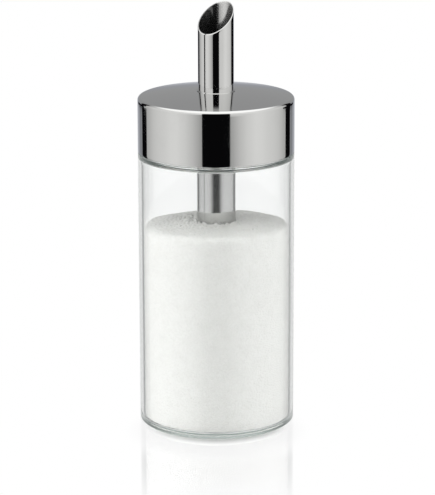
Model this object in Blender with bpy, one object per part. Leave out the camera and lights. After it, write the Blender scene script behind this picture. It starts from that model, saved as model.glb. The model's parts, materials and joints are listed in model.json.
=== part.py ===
"""A glass sugar dispenser with a steel screw lid, a slant-cut spout tube and a gravity flap.

The jar stands on z = 0 with its axis on Z. The spout's mouth looks to the front left, towards -Y and -X.
All lengths are in metres, and the whole model scales with the named lengths below.
"""

import math

import bmesh
import bpy
from mathutils import Matrix, Vector

# Overall sizes of the glass jar
JAR_RADIUS = 0.0300
JAR_WALL = 0.0017
JAR_FLOOR = 0.0028
JAR_BODY_HEIGHT = 0.1064
JAR_FOOT_ROUND = 0.0008
JAR_FOOT_WIDTH = 0.0045
JAR_PUNT_DEPTH = 0.0005
JAR_FLOOR_ROUND = 0.0015
JAR_SHOULDER_ROUND = 0.0020
JAR_INNER_SHOULDER_ROUND = 0.0015
NECK_HEIGHT = 0.0106
NECK_WALL = 0.0018
NECK_RIM_ROUND = 0.0006
NECK_ROOT_ROUND = 0.0004
NECK_BORE_ROUND = 0.0010

# Screw thread between the jar's neck and the lid's insert
THREAD_LEAD = 0.0040
THREAD_DEPTH = 0.0010
THREAD_ROOT_WIDTH = 0.0018
THREAD_CREST_WIDTH = 0.0008
THREAD_CLEARANCE = 0.0004
THREAD_BITE = 0.0004
THREAD_START_ABOVE_SHOULDER = 0.0022
JAR_THREAD_TURNS = 1.5
LID_THREAD_TURNS = 1.1
THREAD_TAPER_TURNS = 0.08
THREAD_SEGMENT_SHARE = 0.4
THREAD_HALF_SHARE = 0.5

# Sugar in the jar: its top dips at the back and heaps up round the sleeve
SUGAR_HEADSPACE = 0.0281
SUGAR_GAP = 0.0003
SUGAR_BACK_DIP = 0.0014
SUGAR_RIGHT_RISE = 0.0003
SUGAR_HEAP = 0.0012
SUGAR_HEAP_SPREAD = 0.0045
SUGAR_FILL_DROP = 0.0180
SUGAR_TOP_RING_SHARES = (0.0, 0.04, 0.12, 0.24, 0.40, 0.60, 0.80, 0.94, 1.0)

# Lid: a drawn steel cap over a moulded insert
RUNNING_GAP = 0.0003
LID_HEIGHT = 0.0212
LID_CROWN = 0.0023
SHELL_WALL = 0.0006
SHELL_EDGE_ROUND = 0.0013
SHELL_FOOT_ROUND = 0.0002
HOLE_LIP_ROUND = 0.0009
HOLE_LIP_LENGTH = 0.0007
CROWN_RING_SHARES = (0.0, 0.25, 0.5, 0.75, 1.0)
INSERT_WALL = 0.0017
INSERT_UPPER_WALL = 0.0015
INSERT_RISE = 0.0005
INSERT_PLATE = 0.0018
BOSS_WALL = 0.0018
BOSS_DROP = 0.0017
RIB_COUNT = 6
RIB_THICKNESS = 0.0012
RIB_TOP_GAP = 0.0010
GASKET_THICKNESS = 0.0013
GASKET_OVERHANG = 0.0004
GASKET_EDGE_GAP = 0.0004

# Spout tube, with the bead that it hangs by
TUBE_RADIUS = 0.00685
TUBE_WALL = 0.0005
TUBE_LIP_GAP = 0.00015
SPOUT_MIDDLE_RISE = 0.02785
MOUTH_SLANT_DEG = 39.3
MOUTH_TURN_DEG = 35.0
BEAD_HEIGHT = 0.0012
BEAD_DEPTH = 0.0011
SEAL_SECTION_RADIUS = 0.00065
SEAL_GAP = 0.00015
WASHER_THICKNESS = 0.0005
WASHER_TEETH = 6
WASHER_TOOTH_STEPS = 5
WASHER_SLOT_STEPS = 3
WASHER_TOOTH_DEPTH = 0.0010

# Dosing sleeve, which slides on the spout tube's lower end
SLEEVE_TRAVEL = 0.0135
SLEEVE_WALL = 0.00028
SLEEVE_GAP = 0.00010
SLEEVE_CRIMP = 0.0008
SLEEVE_FLOOR_GAP = 0.0072
LAND_RISE = 0.00022
LAND_HEIGHT = 0.0010
GRIP_GROOVE_HEIGHT = 0.0012
GRIP_GROOVE_DEPTH = 0.00065
GRIP_SECTION_RADIUS = 0.00038
GRIP_PROUD = 0.00002

# Gravity flap inside the tube
PIN_RADIUS = 0.0005
PIN_RISE = 0.0023
PIN_HOLE_GAP = 0.00015
PIN_SHORT = 0.00010
FLAP_THICKNESS = 0.0006
FLAP_REST_DEG = 30.0
FLAP_CLEARANCE = 0.0003
FLAP_PIN_OFFSET = 0.0010
FLAP_HUB_WALL = 0.0005
FLAP_HUB_GAP = 0.0002
FLAP_HUB_END_GAP = 0.0004

# Fineness of the round shapes
LARGE_SEGMENTS = 40
SMALL_SEGMENTS = 32
RING_SEGMENTS = 8
PIN_SEGMENTS = 12
FULL_TURN_DEG = 360.0
CUT_OVERRUN = 0.0010
MERGE_DISTANCE = 0.000001
SHARP_ANGLE_DEG = 35.0

# Sizes worked out from the ones above
JAR_BORE = JAR_RADIUS - JAR_WALL
SHELL_BORE = JAR_RADIUS - SHELL_WALL
INSERT_RADIUS = SHELL_BORE - RUNNING_GAP
INSERT_BORE = INSERT_RADIUS - INSERT_WALL
NECK_RADIUS = INSERT_BORE - THREAD_CLEARANCE - THREAD_DEPTH
NECK_BORE = NECK_RADIUS - NECK_WALL
NECK_TOP = JAR_BODY_HEIGHT + NECK_HEIGHT
LID_FOOT = JAR_BODY_HEIGHT + RUNNING_GAP
SUGAR_LEVEL = JAR_BODY_HEIGHT - SUGAR_HEADSPACE

GASKET_FOOT = NECK_TOP - LID_FOOT + RUNNING_GAP
PLATE_FOOT = GASKET_FOOT + GASKET_THICKNESS + RUNNING_GAP
PLATE_TOP = PLATE_FOOT + INSERT_PLATE
INSERT_TOP = LID_HEIGHT - SHELL_EDGE_ROUND - RUNNING_GAP
CROWN_RADIUS = JAR_RADIUS - SHELL_EDGE_ROUND
LIP_RADIUS = TUBE_RADIUS + TUBE_LIP_GAP + HOLE_LIP_ROUND
BOSS_BORE = TUBE_RADIUS + RUNNING_GAP
BEAD_RADIUS = TUBE_RADIUS + BEAD_DEPTH
SEAL_RADIUS = TUBE_RADIUS + SEAL_GAP + SEAL_SECTION_RADIUS
RECESS_RADIUS = max(BEAD_RADIUS, SEAL_RADIUS + SEAL_SECTION_RADIUS) + RUNNING_GAP
BOSS_RADIUS = RECESS_RADIUS + BOSS_WALL
BOSS_FOOT = PLATE_FOOT - BOSS_DROP
WASHER_TOP = BOSS_FOOT - RUNNING_GAP
SLEEVE_TOP = WASHER_TOP - WASHER_THICKNESS - RUNNING_GAP - SLEEVE_TRAVEL
SLEEVE_FOOT = JAR_FLOOR + SLEEVE_FLOOR_GAP - LID_FOOT
LAND_TOP = SLEEVE_TOP - SLEEVE_CRIMP - RUNNING_GAP
GROOVE_TOP = LAND_TOP - LAND_HEIGHT
GROOVE_FOOT = GROOVE_TOP - GRIP_GROOVE_HEIGHT
TUBE_FOOT = GROOVE_FOOT - LAND_HEIGHT
LAND_RADIUS = TUBE_RADIUS + LAND_RISE
SLEEVE_BORE = LAND_RADIUS + SLEEVE_GAP
SLEEVE_RADIUS = SLEEVE_BORE + SLEEVE_WALL
CRIMP_BORE = TUBE_RADIUS + SLEEVE_GAP
TUBE_BORE = TUBE_RADIUS - TUBE_WALL
PIN_HEIGHT = BOSS_FOOT + PIN_RISE

# Finishes: colour, roughness, metallic value, and how much light passes through
GLASS = ((0.93, 0.96, 0.94), 0.03, 0.0, 0.9)
SUGAR = ((0.90, 0.90, 0.87), 0.85, 0.0, 0.0)
POLISHED_STEEL = ((0.72, 0.72, 0.72), 0.06, 1.0, 0.0)
SPRING_STEEL = ((0.55, 0.55, 0.56), 0.30, 1.0, 0.0)
WHITE_PLASTIC = ((0.85, 0.85, 0.84), 0.45, 0.0, 0.0)
CLEAR_SILICONE = ((0.82, 0.83, 0.82), 0.55, 0.0, 0.0)


def clear_scene():
    """Removes every object that the file holds."""
    for item in list(bpy.data.objects):
        bpy.data.objects.remove(item, do_unlink=True)


def finish(name, values):
    """A Principled material from one of the finishes above."""
    colour, roughness, metallic, clearness = values
    material = bpy.data.materials.new(name)
    material.use_nodes = True
    shader = material.node_tree.nodes["Principled BSDF"]
    shader.inputs["Base Color"].default_value = (*colour, 1.0)
    shader.inputs["Roughness"].default_value = roughness
    shader.inputs["Metallic"].default_value = metallic
    shader.inputs["Transmission Weight"].default_value = clearness
    return material


def add_object(name, mesh_data, values, parent=None, place=(0.0, 0.0, 0.0)):
    """Makes a mesh into a smooth-shaded, named object with its own material."""
    mesh = bpy.data.meshes.new(name)
    bmesh.ops.recalc_face_normals(mesh_data, faces=mesh_data.faces)
    mesh_data.to_mesh(mesh)
    mesh_data.free()
    mesh.shade_smooth()
    mesh.set_sharp_from_angle(angle=math.radians(SHARP_ANGLE_DEG))
    if values is not None:
        mesh.materials.append(finish(name, values))
    item = bpy.data.objects.new(name, mesh)
    item.location = place
    item.parent = parent
    bpy.context.collection.objects.link(item)
    return item


def add_frame(name, place, parent=None):
    """An empty that carries the pieces which move together."""
    frame = bpy.data.objects.new(name, None)
    frame.location = place
    frame.parent = parent
    bpy.context.collection.objects.link(frame)
    return frame


def combine(target, tool, operation):
    """Adds a live Boolean to the target and hides the tool as a guide."""
    tool.hide_render = True
    tool.display_type = "WIRE"
    modifier = target.modifiers.new(tool.name, "BOOLEAN")
    modifier.operation = operation
    modifier.solver = "EXACT"
    modifier.object = tool


def arc(centre_r, centre_z, radius, start_deg, end_deg, steps):
    """Points along an arc of an outline, both ends included."""
    points = []
    for step in range(steps + 1):
        angle = math.radians(start_deg + (end_deg - start_deg) * step / steps)
        points.append((centre_r + radius * math.cos(angle), centre_z + radius * math.sin(angle)))
    return points


def circle(centre_r, centre_z, radius, steps):
    """A closed round section, its first point not repeated."""
    return arc(centre_r, centre_z, radius, 0.0, FULL_TURN_DEG, steps)[:-1]


def turned(outline, segments, closed):
    """Turns an outline of radius and height once round Z; an open one starts and ends on the axis."""
    data = bmesh.new()
    points = [data.verts.new((r, 0.0, z)) for r, z in outline]
    edges = [data.edges.new(pair) for pair in zip(points, points[1:])]
    if closed:
        edges.append(data.edges.new((points[-1], points[0])))
    bmesh.ops.spin(
        data,
        geom=points + edges,
        cent=(0.0, 0.0, 0.0),
        axis=(0.0, 0.0, 1.0),
        angle=math.radians(FULL_TURN_DEG),
        steps=segments,
        use_merge=True,
    )
    bmesh.ops.remove_doubles(data, verts=data.verts, dist=MERGE_DISTANCE)
    return data


def skinned(sections):
    """A closed skin over a row of sections, each a ring of as many points, with flat ends."""
    data = bmesh.new()
    rings = [[data.verts.new(point) for point in section] for section in sections]
    for near, far in zip(rings, rings[1:]):
        for corner in range(len(near)):
            after = (corner + 1) % len(near)
            data.faces.new((near[corner], near[after], far[after], far[corner]))
    data.faces.new(rings[0])
    data.faces.new(list(reversed(rings[-1])))
    return data


def thread_rib(root_radius, crest_radius, start_height, start_turns, turns):
    """A helical rib of trapezoid section whose crest sinks into its wall at both ends."""
    steps = round(turns * LARGE_SEGMENTS)
    between = THREAD_SEGMENT_SHARE / LARGE_SEGMENTS
    sections = []
    for step in range(steps + 1):
        along = turns * step / steps
        fade = min(1.0, along / THREAD_TAPER_TURNS, (turns - along) / THREAD_TAPER_TURNS)
        side = math.copysign(1.0, root_radius - crest_radius)
        surface = root_radius - side * THREAD_BITE
        sunk = surface + side * THREAD_BITE * THREAD_HALF_SHARE
        crest = sunk + (crest_radius - sunk) * fade
        angle = math.radians(FULL_TURN_DEG) * (start_turns + along + between)
        height = start_height + THREAD_LEAD * along
        across = (
            (root_radius, -THREAD_ROOT_WIDTH / 2),
            (crest, -THREAD_CREST_WIDTH / 2),
            (crest, THREAD_CREST_WIDTH / 2),
            (root_radius, THREAD_ROOT_WIDTH / 2),
        )
        sections.append([(r * math.cos(angle), r * math.sin(angle), height + up) for r, up in across])
    return skinned(sections)


def make_glass_jar():
    """The jar: a thick-floored cylinder, a rounded shoulder and a threaded neck."""
    foot_inner = JAR_RADIUS - JAR_FOOT_ROUND - JAR_FOOT_WIDTH
    inner_top = JAR_BODY_HEIGHT - JAR_WALL
    outline = [(0.0, JAR_PUNT_DEPTH), (foot_inner - JAR_PUNT_DEPTH, JAR_PUNT_DEPTH), (foot_inner, 0.0)]
    outline += arc(JAR_RADIUS - JAR_FOOT_ROUND, JAR_FOOT_ROUND, JAR_FOOT_ROUND, -90, 0, 3)
    outline += arc(
        JAR_RADIUS - JAR_SHOULDER_ROUND, JAR_BODY_HEIGHT - JAR_SHOULDER_ROUND, JAR_SHOULDER_ROUND, 0, 90, 4
    )
    outline += arc(
        NECK_RADIUS + NECK_ROOT_ROUND, JAR_BODY_HEIGHT + NECK_ROOT_ROUND, NECK_ROOT_ROUND, 270, 180, 2
    )
    outline += arc(NECK_RADIUS - NECK_RIM_ROUND, NECK_TOP - NECK_RIM_ROUND, NECK_RIM_ROUND, 0, 90, 3)
    outline += arc(NECK_BORE + NECK_RIM_ROUND, NECK_TOP - NECK_RIM_ROUND, NECK_RIM_ROUND, 90, 180, 3)
    outline += arc(NECK_BORE + NECK_BORE_ROUND, inner_top + NECK_BORE_ROUND, NECK_BORE_ROUND, 180, 270, 3)
    outline += arc(
        JAR_BORE - JAR_INNER_SHOULDER_ROUND,
        inner_top - JAR_INNER_SHOULDER_ROUND,
        JAR_INNER_SHOULDER_ROUND,
        90,
        0,
        3,
    )
    outline += arc(JAR_BORE - JAR_FLOOR_ROUND, JAR_FLOOR + JAR_FLOOR_ROUND, JAR_FLOOR_ROUND, 0, -90, 3)
    outline.append((0.0, JAR_FLOOR))
    jar = add_object("glass_jar", turned(outline, LARGE_SEGMENTS, False), GLASS)
    start = JAR_BODY_HEIGHT + THREAD_START_ABOVE_SHOULDER
    rib = thread_rib(NECK_RADIUS - THREAD_BITE, NECK_RADIUS + THREAD_DEPTH, start, 0.0, JAR_THREAD_TURNS)
    combine(jar, add_object("jar_thread_guide", rib, None), "UNION")
    return jar


def sugar_rise(x, y):
    """How far the sugar's top stands above its level: a tilt, and a heap round the sleeve."""
    beyond = math.hypot(x, y) - SLEEVE_RADIUS
    heap = SUGAR_HEAP * math.exp(-((beyond / SUGAR_HEAP_SPREAD) ** 2))
    return heap + (SUGAR_RIGHT_RISE * x - SUGAR_BACK_DIP * y) / JAR_BORE


def make_sugar():
    """The sugar as one loose body, with a slot that the dosing sleeve stands in."""
    outer = JAR_BORE - SUGAR_GAP
    floor = JAR_FLOOR + SUGAR_GAP
    slot_outer = SLEEVE_RADIUS + SUGAR_GAP
    slot_inner = SLEEVE_BORE - SUGAR_GAP
    slot_floor = LID_FOOT + SLEEVE_FOOT - SUGAR_GAP
    outline = [(0.0, floor)]
    outline += arc(outer - JAR_FLOOR_ROUND, floor + JAR_FLOOR_ROUND, JAR_FLOOR_ROUND, -90, 0, 3)
    for share in reversed(SUGAR_TOP_RING_SHARES):
        outline.append((slot_outer + (outer - slot_outer) * share, SUGAR_LEVEL))
    outline += [(slot_outer, slot_floor), (slot_inner, slot_floor)]
    outline += [(slot_inner, SUGAR_LEVEL - SUGAR_FILL_DROP), (0.0, SUGAR_LEVEL - SUGAR_FILL_DROP)]
    data = turned(outline, LARGE_SEGMENTS, False)
    for point in data.verts:
        if point.co.z > SUGAR_LEVEL - MERGE_DISTANCE:
            point.co.z += sugar_rise(point.co.x, point.co.y)
    return add_object("sugar_fill", data, SUGAR)


def crown_height(radius):
    """Height of the lid's domed top above the lid's foot at a radius."""
    return LID_HEIGHT + LID_CROWN * (1.0 - (radius / CROWN_RADIUS) ** 2)


def make_lid_shell(lid):
    """The drawn cap: skirt, rounded edge, domed top and a centre hole whose lip is rolled in."""
    outline = [(SHELL_BORE, 0.0)]
    outline += arc(JAR_RADIUS - SHELL_FOOT_ROUND, SHELL_FOOT_ROUND, SHELL_FOOT_ROUND, -90, 0, 2)
    edge_centre = LID_HEIGHT - SHELL_EDGE_ROUND
    outline += arc(CROWN_RADIUS, edge_centre, SHELL_EDGE_ROUND, 0, 90, 4)
    span = LIP_RADIUS - CROWN_RADIUS
    top = [(CROWN_RADIUS + span * share, crown_height(CROWN_RADIUS + span * share)) for share in CROWN_RING_SHARES]
    outline += top[1:]
    lip_centre = crown_height(LIP_RADIUS) - HOLE_LIP_ROUND
    lip_foot = lip_centre - HOLE_LIP_LENGTH
    outline += arc(LIP_RADIUS, lip_centre, HOLE_LIP_ROUND, 90, 180, 3)[1:]
    outline.append((LIP_RADIUS - HOLE_LIP_ROUND, lip_foot))
    outline.append((LIP_RADIUS - HOLE_LIP_ROUND + SHELL_WALL, lip_foot))
    outline += arc(LIP_RADIUS, lip_centre, HOLE_LIP_ROUND - SHELL_WALL, 180, 90, 2)
    outline += [(r, z - SHELL_WALL) for r, z in reversed(top[1:-1])]
    outline += arc(CROWN_RADIUS, edge_centre, SHELL_EDGE_ROUND - SHELL_WALL, 90, 0, 3)
    return add_object("lid_shell", turned(outline, LARGE_SEGMENTS, True), POLISHED_STEEL, lid)


def insert_ribs():
    """Radial ribs between the boss and the insert's upper wall, as one skin for each."""
    inner = BOSS_RADIUS - RIB_THICKNESS / 2
    outer = INSERT_RADIUS - INSERT_UPPER_WALL / 2
    top = INSERT_TOP - RIB_TOP_GAP
    foot = PLATE_TOP - INSERT_PLATE / 2
    data = bmesh.new()
    for count in range(RIB_COUNT):
        turn = Matrix.Rotation(math.radians(FULL_TURN_DEG) * count / RIB_COUNT, 4, "Z")
        middle = Matrix.Translation(((inner + outer) / 2, 0.0, (top + foot) / 2))
        size = Matrix.Diagonal((outer - inner, RIB_THICKNESS, top - foot, 1.0))
        bmesh.ops.create_cube(data, size=1.0, matrix=turn @ middle @ size)
    return data


def make_lid_insert(lid):
    """The moulded insert: threaded skirt, closing plate, ribs, and the boss that holds the tube."""
    crown_foot = crown_height(BOSS_RADIUS) - SHELL_WALL
    boss_top = crown_foot - RUNNING_GAP
    recess_floor = bead_foot() - RUNNING_GAP
    upper_bore = INSERT_RADIUS - INSERT_UPPER_WALL
    outline = [
        (INSERT_BORE, INSERT_RISE),
        (INSERT_RADIUS, INSERT_RISE),
        (INSERT_RADIUS, INSERT_TOP),
        (upper_bore, INSERT_TOP),
        (upper_bore, PLATE_TOP),
        (BOSS_RADIUS, PLATE_TOP),
        (BOSS_RADIUS, boss_top),
        (RECESS_RADIUS, boss_top),
        (RECESS_RADIUS, recess_floor),
        (BOSS_BORE, recess_floor),
        (BOSS_BORE, BOSS_FOOT),
        (BOSS_RADIUS, BOSS_FOOT),
        (BOSS_RADIUS, PLATE_FOOT),
        (INSERT_BORE, PLATE_FOOT),
    ]
    insert = add_object("lid_insert", turned(outline, LARGE_SEGMENTS, True), WHITE_PLASTIC, lid)
    combine(insert, add_object("insert_rib_guide", insert_ribs(), None, lid), "UNION")
    skipped = JAR_THREAD_TURNS - LID_THREAD_TURNS
    start = JAR_BODY_HEIGHT + THREAD_START_ABOVE_SHOULDER - LID_FOOT
    start += THREAD_LEAD * (skipped - THREAD_HALF_SHARE)
    root = INSERT_BORE + THREAD_BITE
    rib = thread_rib(root, INSERT_BORE - THREAD_DEPTH, start, skipped, LID_THREAD_TURNS)
    combine(insert, add_object("insert_thread_guide", rib, None, lid), "UNION")
    return insert


def make_gasket(rise):
    """The flat seal between the jar's rim and the insert's plate."""
    inner = NECK_BORE - GASKET_OVERHANG
    outer = INSERT_BORE - GASKET_EDGE_GAP
    top = GASKET_FOOT + GASKET_THICKNESS
    outline = [(inner, GASKET_FOOT), (outer, GASKET_FOOT), (outer, top), (inner, top)]
    return add_object("neck_gasket", turned(outline, LARGE_SEGMENTS, True), CLEAR_SILICONE, rise)


def lip_foot():
    """Height of the lower edge of the rolled-in lip, above the lid's foot."""
    return crown_height(LIP_RADIUS) - HOLE_LIP_ROUND - HOLE_LIP_LENGTH


def seal_middle():
    """Height of the tube seal's section centre."""
    return lip_foot() - SEAL_GAP - SEAL_SECTION_RADIUS


def bead_foot():
    """Height of the lower side of the tube's bead, which lies under the tube seal."""
    return seal_middle() - SEAL_SECTION_RADIUS - SEAL_GAP - BEAD_HEIGHT


def make_tube_seal(lid):
    """The round seal that closes the gap between tube and lid."""
    section = circle(SEAL_RADIUS, seal_middle(), SEAL_SECTION_RADIUS, RING_SEGMENTS)
    return add_object("tube_seal", turned(section, SMALL_SEGMENTS, True), CLEAR_SILICONE, lid)


def make_spout_tube(lid):
    """The tube: a slanted mouth, a rolled bead, pin holes, and a foot with two lands and a groove."""
    bead = bead_foot()
    bead_middle = bead + BEAD_HEIGHT / 2
    middle = crown_height(0.0) + SPOUT_MIDDLE_RISE
    groove_radius = LAND_RADIUS - GRIP_GROOVE_DEPTH - LAND_RISE
    groove_middle = (GROOVE_TOP + GROOVE_FOOT) / 2
    outline = [
        (TUBE_BORE, TUBE_FOOT),
        (LAND_RADIUS, TUBE_FOOT),
        (LAND_RADIUS, GROOVE_FOOT),
        (groove_radius, GROOVE_FOOT + GRIP_PROUD),
        (groove_radius, GROOVE_TOP - GRIP_PROUD),
        (LAND_RADIUS, GROOVE_TOP),
        (LAND_RADIUS, LAND_TOP - LAND_RISE),
        (TUBE_RADIUS, LAND_TOP),
        (TUBE_RADIUS, bead - TUBE_WALL / 2),
        (BEAD_RADIUS, bead + TUBE_WALL / 2),
        (BEAD_RADIUS, bead + BEAD_HEIGHT - TUBE_WALL / 2),
        (TUBE_RADIUS, bead + BEAD_HEIGHT),
        (TUBE_RADIUS, middle),
        (TUBE_BORE, middle),
        (TUBE_BORE, bead + BEAD_HEIGHT),
        (BEAD_RADIUS - TUBE_WALL, bead_middle),
        (TUBE_BORE, bead - TUBE_WALL / 2),
        (TUBE_BORE, GROOVE_TOP + TUBE_WALL),
        (groove_radius - TUBE_WALL, groove_middle + TUBE_WALL),
        (groove_radius - TUBE_WALL, groove_middle - TUBE_WALL),
    ]
    data = turned(outline, SMALL_SEGMENTS, True)
    slope = math.tan(math.radians(MOUTH_SLANT_DEG))
    turn = math.radians(MOUTH_TURN_DEG)
    uphill = Vector((math.sin(turn), math.cos(turn)))
    for point in data.verts:
        if point.co.z > middle - MERGE_DISTANCE:
            point.co.z += slope * point.co.xy.dot(uphill)
    tube = add_object("spout_tube", data, POLISHED_STEEL, lid)
    drill = pin_shape(PIN_RADIUS + PIN_HOLE_GAP, TUBE_RADIUS + CUT_OVERRUN)
    combine(tube, add_object("pin_hole_guide", drill, None, lid, pin_place()), "DIFFERENCE")
    return tube


def pin_place():
    """The flap pin's middle, above the lid's foot: off the tube's axis towards the front."""
    return (0.0, -FLAP_PIN_OFFSET * math.cos(math.radians(FLAP_REST_DEG)), PIN_HEIGHT)


def pin_shape(radius, half_length):
    """A round bar along X."""
    data = bmesh.new()
    bmesh.ops.create_cone(
        data,
        cap_ends=True,
        segments=PIN_SEGMENTS,
        radius1=radius,
        radius2=radius,
        depth=half_length + half_length,
        matrix=Matrix.Rotation(math.radians(FULL_TURN_DEG) / 4, 4, "Y"),
    )
    return data


def make_flap_pin(lid):
    """The pin through both walls of the tube, kept in by the boss round it."""
    shape = pin_shape(PIN_RADIUS, TUBE_RADIUS - PIN_SHORT)
    return add_object("flap_pin", shape, SPRING_STEEL, lid, pin_place())


def make_flap(lid):
    """The flap: an oval plate with a hub, heavier on its upper side, so that it falls shut."""
    frame = add_frame("flap_axis", pin_place(), lid)
    frame.rotation_euler = (math.radians(FLAP_REST_DEG), 0.0, 0.0)
    narrow = TUBE_BORE - FLAP_CLEARANCE
    wide = narrow / math.cos(math.radians(FLAP_REST_DEG))
    data = bmesh.new()
    bmesh.ops.create_cone(
        data,
        cap_ends=True,
        segments=SMALL_SEGMENTS,
        radius1=1.0,
        radius2=1.0,
        depth=1.0,
        matrix=Matrix.Translation((0.0, FLAP_PIN_OFFSET, 0.0))
        @ Matrix.Diagonal((narrow, wide, FLAP_THICKNESS, 1.0)),
    )
    flap = add_object("flap", data, POLISHED_STEEL, frame)
    hub_bore = PIN_RADIUS + FLAP_HUB_GAP
    hub_radius = hub_bore + FLAP_HUB_WALL
    reach = hub_radius + FLAP_PIN_OFFSET
    half_hub = math.sqrt(TUBE_BORE**2 - reach**2) - FLAP_HUB_END_GAP
    hub = pin_shape(hub_radius, half_hub)
    combine(flap, add_object("flap_hub_guide", hub, None, frame), "UNION")
    bore = pin_shape(hub_bore, TUBE_RADIUS + CUT_OVERRUN)
    combine(flap, add_object("flap_bore_guide", bore, None, frame), "DIFFERENCE")
    return flap


def make_washer(lid):
    """The push-on washer under the boss, whose inner teeth grip the tube."""
    grip = TUBE_RADIUS + SEAL_GAP
    spacing = WASHER_TOOTH_STEPS + WASHER_SLOT_STEPS
    steps = WASHER_TEETH * spacing
    foot = WASHER_TOP - WASHER_THICKNESS
    data = bmesh.new()
    rows = []
    for step in range(steps):
        angle = math.radians(FULL_TURN_DEG) * step / steps
        inner = grip if step % spacing < WASHER_TOOTH_STEPS else grip + WASHER_TOOTH_DEPTH
        corners = ((inner, foot), (BOSS_RADIUS, foot), (BOSS_RADIUS, WASHER_TOP), (inner, WASHER_TOP))
        rows.append([data.verts.new((r * math.cos(angle), r * math.sin(angle), z)) for r, z in corners])
    for row, following in zip(rows, rows[1:] + rows[:1]):
        for corner in range(len(row)):
            after = (corner + 1) % len(row)
            data.faces.new((row[corner], row[after], following[after], following[corner]))
    return add_object("retaining_washer", data, SPRING_STEEL, lid)


def make_grip_ring(lid):
    """The small ring in the tube's groove that rubs in the sleeve and holds it at any height."""
    radius = LAND_RADIUS + GRIP_PROUD - GRIP_SECTION_RADIUS
    section = circle(radius, (GROOVE_TOP + GROOVE_FOOT) / 2, GRIP_SECTION_RADIUS, RING_SEGMENTS)
    return add_object("sleeve_grip_ring", turned(section, SMALL_SEGMENTS, True), CLEAR_SILICONE, lid)


def make_dosing_sleeve(sleeve):
    """The thin sleeve on the tube's foot, with a crimped top that hooks over the tube's land."""
    length = SLEEVE_TOP - SLEEVE_FOOT
    outline = [
        (SLEEVE_BORE, 0.0),
        (SLEEVE_RADIUS, 0.0),
        (SLEEVE_RADIUS, length - SLEEVE_WALL),
        (SLEEVE_RADIUS - SLEEVE_WALL / 2, length),
        (CRIMP_BORE, length),
        (CRIMP_BORE, length - SLEEVE_CRIMP),
        (SLEEVE_BORE, length - SLEEVE_CRIMP),
    ]
    return add_object("dosing_sleeve", turned(outline, SMALL_SEGMENTS, True), POLISHED_STEEL, sleeve)


def build():
    """Makes the jar and its sugar, then the lid's frames and the pieces that they carry."""
    clear_scene()
    make_glass_jar()
    make_sugar()
    rise = add_frame("lid_rise_axis", (0.0, 0.0, LID_FOOT))
    make_gasket(rise)
    lid = add_frame("lid_turn_axis", (0.0, 0.0, 0.0), rise)
    make_lid_shell(lid)
    make_lid_insert(lid)
    make_tube_seal(lid)
    make_spout_tube(lid)
    make_washer(lid)
    make_grip_ring(lid)
    make_flap_pin(lid)
    make_flap(lid)
    sleeve = add_frame("sleeve_slide_axis", (0.0, 0.0, SLEEVE_FOOT), lid)
    make_dosing_sleeve(sleeve)


build()
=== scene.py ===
"""The looks of a sugar dispenser: a glass jar of sugar, a polished screw lid and a slant-cut spout.

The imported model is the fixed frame. Each finish is a frozen dataclass that writes one material. Each
sub-assembly is a class: it holds its sizes in metres, works out its surfaces as whole arrays, and dresses
them. The jar stands on z = 0 with its axis on Z, and the camera looks along +Y.
"""

from __future__ import annotations

import json
import logging
import math
import sys
from abc import ABC, abstractmethod
from collections.abc import Mapping, Sequence
from dataclasses import dataclass
from enum import Enum

import bpy
import numpy as np
from mathutils import Matrix

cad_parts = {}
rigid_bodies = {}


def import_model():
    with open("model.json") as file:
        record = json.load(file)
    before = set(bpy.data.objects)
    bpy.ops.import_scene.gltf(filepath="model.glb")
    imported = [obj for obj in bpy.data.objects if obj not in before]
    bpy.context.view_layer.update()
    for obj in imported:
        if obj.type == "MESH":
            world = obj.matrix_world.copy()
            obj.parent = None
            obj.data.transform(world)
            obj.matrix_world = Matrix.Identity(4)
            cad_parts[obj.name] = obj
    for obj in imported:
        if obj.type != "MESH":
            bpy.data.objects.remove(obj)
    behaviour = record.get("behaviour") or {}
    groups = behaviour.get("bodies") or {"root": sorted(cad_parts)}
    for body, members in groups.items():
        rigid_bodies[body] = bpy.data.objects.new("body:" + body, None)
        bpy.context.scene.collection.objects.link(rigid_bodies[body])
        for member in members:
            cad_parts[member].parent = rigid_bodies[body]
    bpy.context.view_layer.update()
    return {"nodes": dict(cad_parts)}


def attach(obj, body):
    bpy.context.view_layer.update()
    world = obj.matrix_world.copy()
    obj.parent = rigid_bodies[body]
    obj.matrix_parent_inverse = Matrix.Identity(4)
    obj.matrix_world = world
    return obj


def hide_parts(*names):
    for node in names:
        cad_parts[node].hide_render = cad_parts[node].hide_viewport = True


for leftover in list(bpy.data.objects):
    bpy.data.objects.remove(leftover, do_unlink=True)
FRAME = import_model()

REPORT = logging.getLogger("sugar_dispenser")
MADE: dict[Finish, bpy.types.Material] = {}
Colour = tuple[float, float, float]
Span = tuple[float, float]
Stops = Sequence[tuple[float, float]]
WHITE: Colour = (1.0, 1.0, 1.0)
HAIR = 1e-6  # metres, less than any step between two sizes
NEARLY_STRAIGHT = 0.9999  # the cosine at which a corner counts as a straight line
SHARP_FROM = math.radians(40.0)


# Shader maths


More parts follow.
